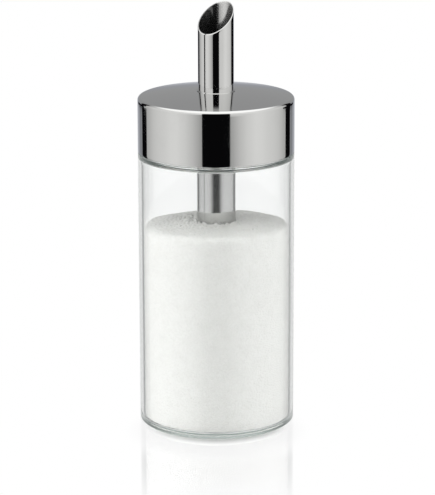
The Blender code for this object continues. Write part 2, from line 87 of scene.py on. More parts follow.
class Wire:
    """A node's output, which Python's operators carry on with Math nodes."""

    def __init__(self, recipe: Recipe, socket: bpy.types.NodeSocket) -> None:
        """Keeps the output and the node tree that it belongs to.

        Args:
            recipe: The node tree being written.
            socket: The output.
        """
        self.recipe = recipe
        self.socket = socket

    def maths(self, operation: str, *others: Wire | float) -> Wire:
        """Adds a Math node whose first value is this wire.

        Args:
            operation: The Math node's operation.
            others: Its other values.

        Returns:
            The node's output.
        """
        return self.recipe.node("ShaderNodeMath", {"operation": operation}, dict(enumerate((self, *others))))

    def __add__(self, other: Wire | float) -> Wire:
        """This plus the other."""
        return self.maths("ADD", other)

    def __sub__(self, other: Wire | float) -> Wire:
        """This less the other."""
        return self.maths("SUBTRACT", other)

    def __rsub__(self, other: float) -> Wire:
        """The other less this."""
        return (self * -1.0) + other

    def __mul__(self, other: Wire | float) -> Wire:
        """This times the other."""
        return self.maths("MULTIPLY", other)

    def __truediv__(self, other: Wire | float) -> Wire:
        """This over the other."""
        return self.maths("DIVIDE", other)

    __radd__ = __add__
    __rmul__ = __mul__

    def __abs__(self) -> Wire:
        """This without its sign."""
        return self.maths("ABSOLUTE")

    def power(self, exponent: float) -> Wire:
        """This, kept from falling below zero, to a power."""
        return self.maths("MAXIMUM", 0.0).maths("POWER", exponent)

    def step(self, low: Wire | float, high: Wire | float) -> Wire:
        """Rises smoothly from 0 at low to 1 at high.

        Args:
            low: Where the rise starts.
            high: Where it ends.

        Returns:
            The share between 0 and 1.
        """
        values = {"Value": self, "From Min": low, "From Max": high}
        return self.recipe.node("ShaderNodeMapRange", {"interpolation_type": "SMOOTHSTEP"}, values)

    def between(self, low: float, high: float) -> Wire:
        """Maps 0 to 1 of this wire straight onto low to high."""
        return self * (high - low) + low


Value = Wire | float | Sequence[float]


def darker(tone: Colour, share: float) -> Colour:
    """The tone, each of its parts times the share."""
    return tuple(share * part for part in tone)


class Recipe:
    """A node tree that is being written, for a material or for the world."""

    def __init__(self, tree: bpy.types.NodeTree) -> None:
        """Empties the tree.

        Args:
            tree: The node tree.
        """
        self.tree = tree
        tree.nodes.clear()

    def node(
        self,
        kind: str,
        settings: Mapping[str, object] | None = None,
        values: Mapping[str | int, Value] | None = None,
        output: str | int = 0,
    ) -> Wire:
        """Adds one node.

        Args:
            kind: The node's type.
            settings: Its own settings, set first; stops are a ramp's places from 0 to 1 and their greys.
            values: What its sockets take, by name or number: a wire, a number or a colour.
            output: Which of its outputs is handed back.

        Returns:
            That output.
        """
        made = self.tree.nodes.new(kind)
        for key, setting in (settings or {}).items():
            if key == "stops":
                self._fill_ramp(made.color_ramp, setting)
            else:
                setattr(made, key, setting)
        for key, value in (values or {}).items():
            socket = made.inputs[key]
            if isinstance(value, Wire):
                self.tree.links.new(value.socket, socket)
            elif isinstance(value, Sequence) and socket.type == "RGBA":
                socket.default_value = (*value[:3], 1.0)
            else:
                socket.default_value = value
        return Wire(self, made.outputs[output] if len(made.outputs) else None)

    @staticmethod
    def _fill_ramp(ramp: bpy.types.ColorRamp, stops: Stops) -> None:
        """Puts places and greys into a ramp.

        Args:
            ramp: The ramp, as its node makes it.
            stops: The places, from 0 to 1 and in order, and their greys.
        """
        while len(ramp.elements) < len(stops):
            ramp.elements.new(1.0)
        for element, (place, grey) in zip(ramp.elements, stops):
            element.position = place
            element.color = (grey, grey, grey, 1.0)

    def light_path(self, output: str) -> Wire:
        """What the renderer knows of the ray that asks."""
        return self.node("ShaderNodeLightPath", output=output)

    def place(self) -> Wire:
        """Where the surface point lies, in the object's own metres."""
        return self.node("ShaderNodeTexCoord", output="Object")

    def parts(self, vector: Wire) -> tuple[Wire, Wire, Wire]:
        """Splits a vector.

        Args:
            vector: The vector.

        Returns:
            Its x, y and z.
        """
        split = self.node("ShaderNodeSeparateXYZ", values={0: vector})
        outputs = split.socket.node.outputs
        return Wire(self, outputs[0]), Wire(self, outputs[1]), Wire(self, outputs[2])

    def vector(self, x: Value, y: Value, z: Value) -> Wire:
        """A vector from its three parts."""
        return self.node("ShaderNodeCombineXYZ", values={0: x, 1: y, 2: z})

    def stretched(self, scale: Sequence[float]) -> Wire:
        """The place, with each direction scaled."""
        return self.node("ShaderNodeMapping", values={"Vector": self.place(), "Scale": scale})

    def from_axis(self, shift: Sequence[float] = (0.0, 0.0, 0.0)) -> Wire:
        """How far the surface point lies from the object's Z axis: the root of x squared plus y squared.

        Args:
            shift: How far the point is moved first.

        Returns:
            The distance, in metres.
        """
        moved = self.node("ShaderNodeVectorMath", {"operation": "ADD"}, {0: self.place(), 1: shift})
        x, y, _ = self.parts(moved)
        return (x * x + y * y).power(0.5)

    def turned(self) -> Wire:
        """The place as (distance from the axis, 0, height), for marks that run round the axis."""
        return self.vector(self.from_axis(), 0.0, self.parts(self.place())[2])

    def noise(self, vector: Wire, scale: float, detail: float = 2.0, roughness: float = 0.5) -> Wire:
        """Cloudy noise between 0 and 1, mostly near a half."""
        values = {"Vector": vector, "Scale": scale, "Detail": detail, "Roughness": roughness}
        return self.node("ShaderNodeTexNoise", values=values)

    def bump(self, height: Wire, distance: float, strength: float = 1.0) -> Wire:
        """Turns a height between 0 and 1 into a tilt of the surface; distance is how tall 1 is, in metres."""
        values = {"Height": height, "Distance": distance, "Strength": strength}
        return self.node("ShaderNodeBump", values=values)

    def mixed(self, share: Value, first: Value, second: Value) -> Wire:
        """A colour that goes from the first to the second as the share goes from 0 to 1."""
        values = {"Factor": share, 6: first, 7: second}
        return self.node("ShaderNodeMix", {"data_type": "RGBA"}, values, output=2)

    def by_turn(self, turn: Wire, stops: Stops) -> Wire:
        """The grey at a turn between 0 and 180 degrees; the stops are turns and their greys."""
        shares = [(angle / 180.0, grey) for angle, grey in stops]
        return self.node("ShaderNodeValToRGB", {"stops": shares}, {0: turn / 180.0})

    def emission(self, colour: Value) -> Wire:
        """A shader that shows this colour by itself, however it is lit."""
        return self.node("ShaderNodeEmission", values={"Color": colour, "Strength": 1.0})

    def blended(self, share: Value, first: Wire, second: Wire) -> Wire:
        """A shader that goes from the first to the second as the share goes from 0 to 1."""
        return self.node("ShaderNodeMixShader", values={0: share, 1: first, 2: second})

    def shader(self, **values: Value) -> Wire:
        """The Principled shader; underscores in its sockets' names stand for spaces."""
        named = {key.replace("_", " "): value for key, value in values.items()}
        return self.node("ShaderNodeBsdfPrincipled", values=named)


# Finishes


@dataclass(frozen=True)
class Finish(ABC):
    """How one material of the dispenser looks."""

    name: str

    def material(self) -> bpy.types.Material:
        """Makes the material, or hands back the one already made.

        Returns:
            The material of this finish's name.
        """
        made = MADE.get(self)
        if made is None:
            made = MADE[self] = bpy.data.materials.new(self.name)
            made.use_nodes = True
            recipe = Recipe(made.node_tree)
            output = {"Surface": self.surface(recipe)}
            inside = self.inside(recipe)
            if inside is not None:
                output["Volume"] = inside
            recipe.node("ShaderNodeOutputMaterial", values=output)
        return made

    @abstractmethod
    def surface(self, recipe: Recipe) -> Wire:
        """Writes the surface's nodes.

        Args:
            recipe: The material's node tree.

        Returns:
            The shader.
        """

    def inside(self, recipe: Recipe) -> Wire | None:
        """Writes the nodes for what fills the piece, if light goes through it."""
        return None


@dataclass(frozen=True)
class MirrorSteel(Finish):
    """Steel polished on a lathe: hairlines that run round it, faint cloudy smudges and fine specks."""

    tone: Colour = (0.70, 0.70, 0.695)
    roughness: float = 0.045
    smudge: float = 0.05
    smudge_size: float = 0.012
    smudge_span: Span = (0.48, 0.75)
    smudge_tone: float = 0.965
    specks_per_smudge: float = 14.0
    speck_span: Span = (0.62, 0.80)
    speck_share: float = 0.3
    hairline_height: float = 0.0000003
    hairline_pitch: float = 0.00025
    hairline_roughness: float = 0.02
    unpolished_within: float = 0.0
    unpolished_blend: float = 0.00008
    unpolished_roughness: float = 0.10
    painted_reflection_tone: Colour = (0.62, 0.62, 0.615)
    painted_bore_shade: Colour = (0.13, 0.13, 0.13)
    painted_reflection_left: Span = (0.03, 0.10)
    painted_reflection_right: Span = (0.55, 0.90)
    painted_reflection_fade: float = 0.8
    painted_reflection_behind: float = 0.0015
    dust: float = 0.12

    def surface(self, recipe: Recipe) -> Wire:
        """Mirror-like metal, a little duller in the smudges and specks.

        A bore that was left unpolished is duller still and thinly dusted. Painted shade makes it dark, but
        for a painted reflection in a stripe.

        Args:
            recipe: The material's node tree.

        Returns:
            The shader.
        """
        lines = recipe.noise(recipe.turned(), 1.0 / self.hairline_pitch, detail=4.0, roughness=0.6)
        smudges = recipe.noise(recipe.place(), 1.0 / self.smudge_size, detail=3.0).step(*self.smudge_span)
        speck_scale = self.specks_per_smudge / self.smudge_size
        specks = recipe.noise(recipe.place(), speck_scale).step(*self.speck_span)
        dull = smudges * (1.0 - self.speck_share) + specks * self.speck_share
        tint = recipe.mixed(dull, self.tone, darker(self.tone, self.smudge_tone))
        least = self.roughness - self.hairline_roughness / 2
        roughness = dull * self.smudge + lines * self.hairline_roughness + least
        metallic = 1.0
        if self.unpolished_within:
            low = self.unpolished_within - self.unpolished_blend
            high = self.unpolished_within + self.unpolished_blend
            bare = 1.0 - recipe.from_axis().step(low, high)
            # Painted shade darkens the bore, and a painted reflection lightens a stripe on its back wall.
            x, y, _ = recipe.parts(recipe.place())
            across = x / self.unpolished_within
            faded = 1.0 - across.step(*self.painted_reflection_right) * self.painted_reflection_fade
            painted_reflection = across.step(*self.painted_reflection_left) * faded * y.step(0.0, self.painted_reflection_behind)
            painted_bore_tone = recipe.mixed(painted_reflection, self.painted_bore_shade, self.painted_reflection_tone)
            roughness = roughness + bare * self.unpolished_roughness
            tint = recipe.mixed(bare, tint, painted_bore_tone)
            metallic = 1.0 - bare * self.dust
        return recipe.shader(
            Base_Color=tint,
            Metallic=metallic,
            Roughness=roughness,
            Normal=recipe.bump(lines, self.hairline_height),
        )


@dataclass(frozen=True)
class SatinSteel(Finish):
    """Spring steel as it comes from the press: rolling marks one way and a soft gloss."""

    tone: Colour = (0.55, 0.55, 0.56)
    roughness: Span = (0.22, 0.38)
    mark_pitch: float = 0.0002
    mark_length: float = 0.006
    mark_height: float = 0.000003
    mark_tone: float = 0.86

    def surface(self, recipe: Recipe) -> Wire:
        """Metal with fine marks along X.

        Args:
            recipe: The material's node tree.

        Returns:
            The shader.
        """
        scale = (1.0 / self.mark_length, 1.0 / self.mark_pitch, 1.0 / self.mark_pitch)
        marks = recipe.noise(recipe.stretched(scale), 1.0, detail=3.0, roughness=0.6)
        return recipe.shader(
            Base_Color=recipe.mixed(marks, self.tone, darker(self.tone, self.mark_tone)),
            Metallic=1.0,
            Roughness=marks.between(*self.roughness),
            Normal=recipe.bump(marks, self.mark_height),
        )


@dataclass(frozen=True)
class JarGlass(Finish):
    """Clear pressed glass: slow waves in its surface, faint prints on it, green in its depth."""

    index: float = 1.5
    wave_size: float = 0.022
    wave_height: float = 0.00002
    wave_stretch: float = 0.45
    print_scale: float = 90.0
    print_span: Span = (0.56, 0.80)
    print_tone: Colour = (0.985, 0.99, 0.985)
    depth_colour: Colour = (0.20, 0.62, 0.46)
    depth_density: float = 7.0
    piped_light: Colour = (0.36, 0.395, 0.38)
    piped_shade: Colour = (0.078, 0.095, 0.089)
    piped_after: Span = (1.6, 1.9)
    shaded_aside: Span = (0.012, 0.027)
    shaded_above: Span = (0.090, 0.100)

    def surface(self, recipe: Recipe) -> Wire:
        """Glass with faint prints and a surface that waves a little from place to place.

        Soft light reaches the sugar straight through it, as it does through a thin clear wall. Light that
        is mirrored over and over inside a thick part is a painted glow: an emission of green grey, with
        painted shade in the shoulder and where the foot turns away at the sides. The polish is even, because
        the world's picture of the studio tells a sharp mirror image from a blurred one.

        Args:
            recipe: The material's node tree.

        Returns:
            The shader.
        """
        stretched = recipe.stretched((1.0, 1.0, self.wave_stretch))
        waves = recipe.noise(stretched, 1.0 / self.wave_size, detail=1.0)
        prints = recipe.noise(recipe.place(), self.print_scale, detail=4.0, roughness=0.6)
        prints = prints.step(*self.print_span)
        glass = recipe.shader(
            Base_Color=recipe.mixed(prints, WHITE, self.print_tone),
            Roughness=0.0,
            IOR=self.index,
            Transmission_Weight=1.0,
            Normal=recipe.bump(waves, self.wave_height),
        )
        x, _, z = recipe.parts(recipe.place())
        # Painted glow: the emission stands in for light piped inside thick glass, with painted shade at the
        # sides and in the shoulder.
        shaded = abs(x).step(*self.shaded_aside).maths("MAXIMUM", z.step(*self.shaded_above))
        piped = recipe.emission(recipe.mixed(shaded, self.piped_light, self.piped_shade))
        glass = recipe.blended(recipe.light_path("Glossy Depth").step(*self.piped_after), glass, piped)
        soft = recipe.light_path("Is Shadow Ray").maths("MAXIMUM", recipe.light_path("Diffuse Depth"))
        return recipe.blended(soft.maths("MINIMUM", 1.0), glass, recipe.node("ShaderNodeBsdfTransparent"))

    def inside(self, recipe: Recipe) -> Wire:
        """Takes a little red and blue out of the light, the more the further it goes."""
        values = {"Color": self.depth_colour, "Density": self.depth_density}
        return recipe.node("ShaderNodeVolumeAbsorption", values=values)


@dataclass(frozen=True)
class LooseSugar(Finish):
    """White sugar: crystals that each catch the light their own way, with painted shade in the gaps between
    them.
    """

    tone: Colour = (0.895, 0.893, 0.875)
    shade: Colour = (0.81, 0.807, 0.785)
    roughness: Span = (0.35, 0.85)
    crystal_size: float = 0.0006
    crystal_height: float = 0.00022
    crystal_bump: float = 0.8
    gap_span: Span = (0.35, 0.75)
    clump_scale: float = 260.0
    clump_span: Span = (0.40, 0.75)
    painted_top_shade_above: Span = (0.0748, 0.0760)
    painted_top_shade_behind: Span = (-0.016, 0.010)
    painted_top_shade_middle: float = 0.003
    painted_top_shade_aside: Span = (0.012, 0.030)
    painted_top_shade_tone: float = 0.74

    def surface(self, recipe: Recipe) -> Wire:
        """Cells as wide as crystals, each with its own tone and gloss, and a bump at their edges.

        Half of the dark is painted shade in the gaps, and the rest is each crystal's own tone and clumps. On
        the top, painted shade greys it towards the back, most of all behind the tube, where the lid and the
        tube keep the light off.

        Args:
            recipe: The material's node tree.

        Returns:
            The shader.
        """
        place = recipe.place()
        settings = {"feature": "F1"}
        values = {"Vector": place, "Scale": 1.0 / self.crystal_size, "Randomness": 1.0}
        edge = recipe.node("ShaderNodeTexVoronoi", settings, values, output="Distance")
        cell = recipe.node("ShaderNodeTexVoronoi", settings, values, output="Color")
        own, turn, _ = recipe.parts(cell)
        clumps = recipe.noise(place, self.clump_scale, detail=3.0).step(*self.clump_span)
        # The gaps' share is painted shade; the crystals' own tone and the clumps are the sugar's colour.
        dark = edge.step(*self.gap_span) * 0.5 + own * 0.2 + clumps * 0.3
        height = (1.0 - edge) * 0.7 + turn * 0.3
        x, y, z = recipe.parts(place)
        # Painted shade: the top is greyed towards the back and the middle, most of all behind the tube.
        painted_top_shade = z.step(*self.painted_top_shade_above) * y.step(*self.painted_top_shade_behind)
        painted_top_shade = painted_top_shade * (1.0 - abs(x - self.painted_top_shade_middle).step(*self.painted_top_shade_aside))
        tone = recipe.mixed(dark, self.tone, self.shade)
        return recipe.shader(
            Base_Color=recipe.mixed(painted_top_shade * (dark * 0.5 + 0.5), tone, darker(self.shade, self.painted_top_shade_tone)),
            Roughness=own.between(*self.roughness),
            Normal=recipe.bump(height, self.crystal_height, self.crystal_bump),
        )


@dataclass(frozen=True)
class MouldedPlastic(Finish):
    """White moulded plastic with a finely eroded mould's grain and faint flow marks."""

    tone: Colour = (0.85, 0.85, 0.835)
    roughness: Span = (0.34, 0.54)
    grain_scale: float = 5200.0
    grain_height: float = 0.00001
    flow_scale: float = 120.0
    flow_stretch: float = 0.3
    flow_tone: float = 0.93

    def surface(self, recipe: Recipe) -> Wire:
        """Soft gloss, broken by the grain.

        Args:
            recipe: The material's node tree.

        Returns:
            The shader.
        """
        grain = recipe.noise(recipe.place(), self.grain_scale)
        flow = recipe.noise(recipe.stretched((1.0, 1.0, self.flow_stretch)), self.flow_scale, detail=3.0)
        return recipe.shader(
            Base_Color=recipe.mixed(flow, self.tone, darker(self.tone, self.flow_tone)),
            Roughness=grain.between(*self.roughness),
            Normal=recipe.bump(grain, self.grain_height),
        )


@dataclass(frozen=True)
class MilkySilicone(Finish):
    """Silicone rubber: milky, a little dusty, and matt where it was trimmed."""

    tone: Colour = (0.82, 0.83, 0.82)
    roughness: Span = (0.4, 0.65)
    cloud_scale: float = 420.0
    cloud_tone: float = 0.90
    grain_scale: float = 6000.0
    grain_height: float = 0.000008
    milkiness: float = 0.2
    depth: float = 0.001

    def surface(self, recipe: Recipe) -> Wire:
        """Cloudy tone and roughness.

        Args:
            recipe: The material's node tree.

        Returns:
            The shader.
        """
        clouds = recipe.noise(recipe.place(), self.cloud_scale, detail=3.0)
        grain = recipe.noise(recipe.place(), self.grain_scale, detail=1.0)
        return recipe.shader(
            Base_Color=recipe.mixed(clouds, self.tone, darker(self.tone, self.cloud_tone)),
            Roughness=clouds.between(*self.roughness),
            Normal=recipe.bump(grain, self.grain_height),
            Subsurface_Weight=self.milkiness,
            Subsurface_Scale=self.depth,
        )


# Surfaces


@dataclass(frozen=True)
class Corner:
    """A corner of a profile: its distance from the axis, its height, and how far it is rounded off."""

    radius: float
    height: float
    rounding: float = 0.0


class Closing(Enum):
    """How the rows of a skin end."""

    LOOP = "the last row joins the first"
    POLES = "the first and last rows are one point each, on the axis"


def rounded_profile(corners: Sequence[Corner], steps: int = 6) -> np.ndarray:
    """Rounds off the corners of a profile.

    The arc of a corner touches both sides at rounding / tan(half its angle) from the corner. Its points are
    the two touching points, seen from the arc's centre, mixed by the sines of the angles to the other one.

    Args:
        corners: The corners in order; a profile that ends on the axis has plain corners there.
        steps: Steps in each arc.

    Returns:
        Points of radius and height, in order.
    """
    points = np.array([(corner.radius, corner.height) for corner in corners])
    rounding = np.array([corner.rounding for corner in corners])[:, None]
    back = np.roll(points, 1, axis=0) - points
    ahead = np.roll(points, -1, axis=0) - points
    back /= np.linalg.norm(back, axis=1, keepdims=True)
    ahead /= np.linalg.norm(ahead, axis=1, keepdims=True)
    cosine = (back * ahead).sum(axis=1, keepdims=True)
    half = np.arccos(np.clip(cosine, -NEARLY_STRAIGHT, NEARLY_STRAIGHT)) / 2
    inwards = (back + ahead) / np.linalg.norm(back + ahead, axis=1, keepdims=True)
    centre = points + inwards * rounding / np.sin(half)
    start = points + back * rounding / np.tan(half) - centre
    stop = points + ahead * rounding / np.tan(half) - centre
    sweep = (math.pi - 2 * half)[:, None]
    share = np.linspace(0.0, 1.0, steps + 1)[None, :, None]
    mixed = np.sin((1 - share) * sweep) * start[:, None] + np.sin(share * sweep) * stop[:, None]
    arcs = centre[:, None] + mixed / np.sin(sweep)
    kept = (rounding > 0) | (np.arange(steps + 1) == 0)[None]
    arcs = np.where((rounding > 0)[:, None], arcs, points[:, None])
    return arcs[kept]


def filled_in(profile: np.ndarray, spacing: float, closing: Closing) -> np.ndarray:
    """Adds points to a profile so that none of its sides is longer than the spacing.

    Args:
        profile: Points of radius and height.
        spacing: The longest side allowed.
        closing: Whether the last point joins the first.

    Returns:
        The profile with its own points and the added ones.
    """
    after = np.roll(profile, -1, axis=0)
    counts = np.ceil(np.linalg.norm(after - profile, axis=1) / spacing).astype(int).clip(1)
    if closing is Closing.POLES:
        counts[-1] = 1
    side = np.repeat(np.arange(len(profile)), counts)
    share = (np.arange(len(side)) - np.repeat(np.cumsum(counts) - counts, counts)) / counts[side]
    return profile[side] + (after[side] - profile[side]) * share[:, None]


def finer(profile: np.ndarray, chosen: np.ndarray, spacing: float) -> np.ndarray:
    """Fills in one stretch of a profile.

    Args:
        profile: Points of radius and height.
        chosen: Which of them belong to the stretch.
        spacing: The longest side allowed there.

    Returns:
        The profile with the added points.
    """
    first, last = np.flatnonzero(chosen)[[0, -1]]
    fine = filled_in(profile[first : last + 1], spacing, Closing.POLES)
    return np.concatenate((profile[:first], fine, profile[last + 1 :]))


def arc(radius: float, middle: tuple[float, float], first: float, last: float, count: int) -> np.ndarray:
    """Points on an arc: the middle plus the radius times the cosine and the sine of each angle.

    Args:
        radius: The arc's radius.
        middle: The middle's distance from the axis and its height.
        first: The first angle, in degrees up from outwards.
        last: The last angle.
        count: How many points.

    Returns:
        Points of radius and height.
    """
    angle = np.radians(np.linspace(first, last, count))
    return np.stack((middle[0] + radius * np.cos(angle), middle[1] + radius * np.sin(angle)), axis=-1)


def even_angles(count: int, seam: float = 0.0, reach: float = 0.0, extra: int = 0) -> np.ndarray:
    """Angles once round the axis, with more of them on both sides of a seam, if there are extra ones.

    Args:
        count: Evenly spaced angles.
        seam: The seam's angle.
        reach: How far to each side of it the extra ones go, in radians.
        extra: How many there are.

    Returns:
        The sorted angles, none of them too close to the next one.
    """
    even = np.arange(count) * math.tau / count
    near = np.mod(seam + np.linspace(-reach, reach, extra), math.tau)
    angles = np.unique(np.round(np.concatenate((even, near)), 5))
    return angles[np.diff(angles, append=angles[0] + math.tau) > 2e-4]


def left_of_front(turn: float) -> float:
    """The angle that lies so far round to the left from the front, which is -Y."""
    return float(np.mod(-math.pi / 2 - turn, math.tau))


@dataclass
class Skin:
    """A turned surface as a grid of points: its rows follow a profile, and its columns go round Z."""

    radius: np.ndarray
    height: np.ndarray
    angle: np.ndarray
    closing: Closing

    @classmethod
    def turned(cls, profile: np.ndarray, angles: np.ndarray, closing: Closing) -> Skin:
        """Turns a profile round Z: every angle has the profile's own radius and height.

        Args:
            profile: Points of radius and height, with the solid on their left.
            angles: The columns' angles.
            closing: How the rows end.

        Returns:
            The skin, whose radius and height can still be changed point by point.
        """
        shape = (len(profile), len(angles))
        radius = np.broadcast_to(profile[:, :1], shape).copy()
        height = np.broadcast_to(profile[:, 1:], shape).copy()
        return cls(radius, height, np.broadcast_to(angles, shape), closing)

    def points(self) -> np.ndarray:
        """Each point as (radius cos angle, radius sin angle, height)."""
        x, y = self.radius * np.cos(self.angle), self.radius * np.sin(self.angle)
        return np.stack((x, y, self.height), axis=-1)

    def past(self, angle: float, radius: float) -> np.ndarray:
        """How far each point lies past an angle, less than 0 before it, along a circle of that radius."""
        return (np.mod(self.angle - angle + math.pi, math.tau) - math.pi) * radius

    def mesh(self, name: str) -> bpy.types.Mesh:
        """Makes the mesh, whose faces look out of the solid.

        Args:
            name: The mesh's name.

        Returns:
            The mesh, smooth but for its sharp corners.
        """
        grid = self.points()
        poles = self.closing is Closing.POLES
        body = grid[1:-1] if poles else grid
        rows, columns = body.shape[:2]
        ring = np.arange(rows * columns).reshape(rows, columns)
        near, far = (ring[:-1], ring[1:]) if poles else (ring, np.roll(ring, -1, axis=0))
        quads = np.stack((near, np.roll(near, -1, axis=1), np.roll(far, -1, axis=1), far), axis=-1)
        faces = quads.reshape(-1, 4).tolist()
        points = body.reshape(-1, 3)
        if poles:
            first, last = ring[0], ring[-1]
            ends = np.full(columns, rows * columns)
            faces += np.stack((ends, np.roll(first, -1), first), axis=-1).tolist()
            faces += np.stack((last, np.roll(last, -1), ends + 1), axis=-1).tolist()
            points = np.concatenate((points, grid[:1, 0], grid[-1:, 0]))
        mesh = bpy.data.meshes.new(name)
        mesh.from_pydata(points.tolist(), [], faces)
        mesh.update()
        mesh.shade_smooth()
        mesh.set_sharp_from_angle(angle=SHARP_FROM)
        return mesh


@dataclass(frozen=True)
class Waves:
    """Uneven ground: a sum of cosines of x and y, each with its own direction, length and phase."""

    height: float
    longest: float
    shortest: float
    count: int
    seed: int

    def rise(self, x: np.ndarray, y: np.ndarray) -> np.ndarray:
        """How far the ground stands out at each place.

        Args:
            x: Places along X.
            y: Places along Y.

        Returns:
            Rises, about the height up and down, where shorter waves are lower in proportion to their length.
        """
        draw = np.random.default_rng(self.seed)
        length = np.geomspace(self.longest, self.shortest, self.count)
        direction, phase = draw.uniform(0.0, math.tau, (2, self.count))
        along = x[..., None] * np.cos(direction) + y[..., None] * np.sin(direction)
        weight = length / length.sum()
        return self.height * (np.cos(math.tau * along / length + phase) * weight).sum(axis=-1) * 2.0


# Sub-assemblies


@dataclass
class SubAssembly(ABC):
    """Pieces that are made together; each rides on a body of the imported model."""

    @abstractmethod
    def build(self) -> None:
        """Makes the pieces and dresses them."""

    def add(
        self, skin: Skin, name: str, body: str, finish: Finish, slot: str, *stands_for: str
    ) -> bpy.types.Object:
        """Makes a skin into a piece.

        Args:
            skin: Its surface.
            name: Its name.
            body: The body that it rides on.
            finish: Its finish.
            slot: The record's material slot that the finish stands for; not used.
            stands_for: The nodes that it replaces.

        Returns:
            The piece.
        """
        piece = bpy.data.objects.new(name, skin.mesh(name))
        piece.data.materials.append(finish.material())
        bpy.context.scene.collection.objects.link(piece)
        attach(piece, body)
        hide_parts(*stands_for)
        self.tell(piece)
        return piece

    def dress(self, node: str, finish: Finish, slot: str) -> bpy.types.Object:
        """Gives a node that is kept as it is its finish.

        Args:
            node: The node's name.
            finish: Its finish.
            slot: The record's material slot; not used.

        Returns:
            The node's object.
        """
        kept = FRAME["nodes"][node]
        kept.data.materials.clear()
        kept.data.materials.append(finish.material())
        self.tell(kept)
        return kept

    @staticmethod
    def tell(piece: bpy.types.Object) -> None:
        """Reports a piece, its faces and its size."""
        size = " x ".join(f"{1000 * side:.1f}" for side in piece.dimensions)
        faces = len(piece.data.polygons)
        REPORT.info("%s: %d faces, %s mm, %s", piece.name, faces, size, piece.active_material.name)


@dataclass
class Thread:
    """A screw thread of trapezoid section on a turned wall."""

    lead: float = 0.0040
    depth: float = 0.0010
    root_width: float = 0.0018
    crest_width: float = 0.0008
    taper_turns: float = 0.08

    def rise(self, skin: Skin, start: float, turns: float) -> np.ndarray:
        """How far the thread stands out of its wall at each point of a skin.

        A point's height above the start, in leads, less its angle in turns, is how many turns it lies above
        the helix. What is left past the nearest whole number is its distance from the nearest turn.

        Args:
            skin: The skin that carries the thread.
            start: The height of the thread's start, which lies at angle 0.
            turns: Its length, in turns.

        Returns:
            Lengths from 0 to the depth.
        """
        share = np.mod(skin.angle / math.tau, 1.0)
        above = (skin.height - start) / self.lead - share
        whole = np.round(above)
        along = share + whole
        away = np.abs(above - whole) * self.lead
        flank = np.clip((self.root_width / 2 - away) / (self.root_width / 2 - self.crest_width / 2), 0.0, 1.0)
        fade = np.clip(np.minimum(along, turns - along) / self.taper_turns, 0.0, 1.0)
        return self.depth * (flank**2 * (3 - 2 * flank)) * fade


@dataclass
class Jar(SubAssembly):
    """The glass: a thick floor, straight walls, a rounded shoulder and a neck with a screw thread."""

    radius: float = 0.0300
    wall: float = 0.0017
    floor: float = 0.0028
    floor_dip: float = 0.0011
    body_height: float = 0.1064
    foot_round: float = 0.0008
    foot_width: float = 0.0045
    foot_inner_round: float = 0.0004
    punt_depth: float = 0.0005
    punt_round: float = 0.0006
    floor_round: float = 0.0009
    dip_start: float = 0.0085
    dip_end: float = 0.0025
    dip_round: float = 0.006
    shoulder_round: float = 0.0003
    inner_shoulder_round: float = 0.0007
    neck_radius: float = 0.0260
    neck_bore: float = 0.0242
    neck_height: float = 0.0106
    rim_round: float = 0.0006
    root_round: float = 0.0004
    bore_round: float = 0.0003
    thread_above_shoulder: float = 0.0022
    thread_turns: float = 1.5
    row_spacing: float = 0.0012
    thread_spacing: float = 0.00013
    columns: int = 200

    @property
    def bore(self) -> float:
        """The radius inside."""
        return self.radius - self.wall

    def profile(self) -> np.ndarray:
        """Round the glass's section.

        Returns:
            Points from the middle of the base, up the outside, over the rim and down to the floor's middle.
        """
        inner = self.radius - self.foot_round - self.foot_width
        top = self.body_height + self.neck_height
        ceiling = self.body_height - self.wall
        return rounded_profile(
            (
                Corner(0.0, self.punt_depth),
                Corner(inner - self.punt_depth, self.punt_depth, self.punt_round),
                Corner(inner, 0.0, self.foot_inner_round),
                Corner(self.radius, 0.0, self.foot_round),
                Corner(self.radius, self.body_height, self.shoulder_round),
                Corner(self.neck_radius, self.body_height, self.root_round),
                Corner(self.neck_radius, top, self.rim_round),
                Corner(self.neck_bore, top, self.rim_round),
                Corner(self.neck_bore, ceiling, self.bore_round),
                Corner(self.bore, ceiling, self.inner_shoulder_round),
                Corner(self.bore, self.floor - self.floor_dip, self.floor_round),
                *self.floor_rise(0.0)[::-1],
            ),
            steps=8,
        )

    def floor_rise(self, above: float) -> tuple[Corner, ...]:
        """The flat middle of the floor and the slope down from it.

        Args:
            above: How far above the glass; the sugar lies a little above it.

        Returns:
            The corners, from the middle outwards.
        """
        return (
            Corner(0.0, self.floor + above),
            Corner(self.bore - self.dip_start, self.floor + above, self.dip_round),
            Corner(self.bore - self.dip_end, self.floor - self.floor_dip + above, self.dip_round),
        )

    def build(self) -> None:
        """Turns the profile, and lets the thread stand out of the neck's outside."""
        coarse = filled_in(self.profile(), self.row_spacing, Closing.POLES)
        neck = (coarse[:, 0] > self.neck_radius - HAIR) & (coarse[:, 1] > self.body_height + self.root_round)
        skin = Skin.turned(finer(coarse, neck, self.thread_spacing), even_angles(self.columns), Closing.POLES)
        start = self.body_height + self.thread_above_shoulder
        outside = (skin.radius > self.neck_radius - HAIR) & (skin.height > self.body_height)
        skin.radius += Thread().rise(skin, start, self.thread_turns) * outside
        self.add(skin, "jar_glass", "jar", JarGlass("pressed_jar_glass"), "jar_glass", "glass_jar")


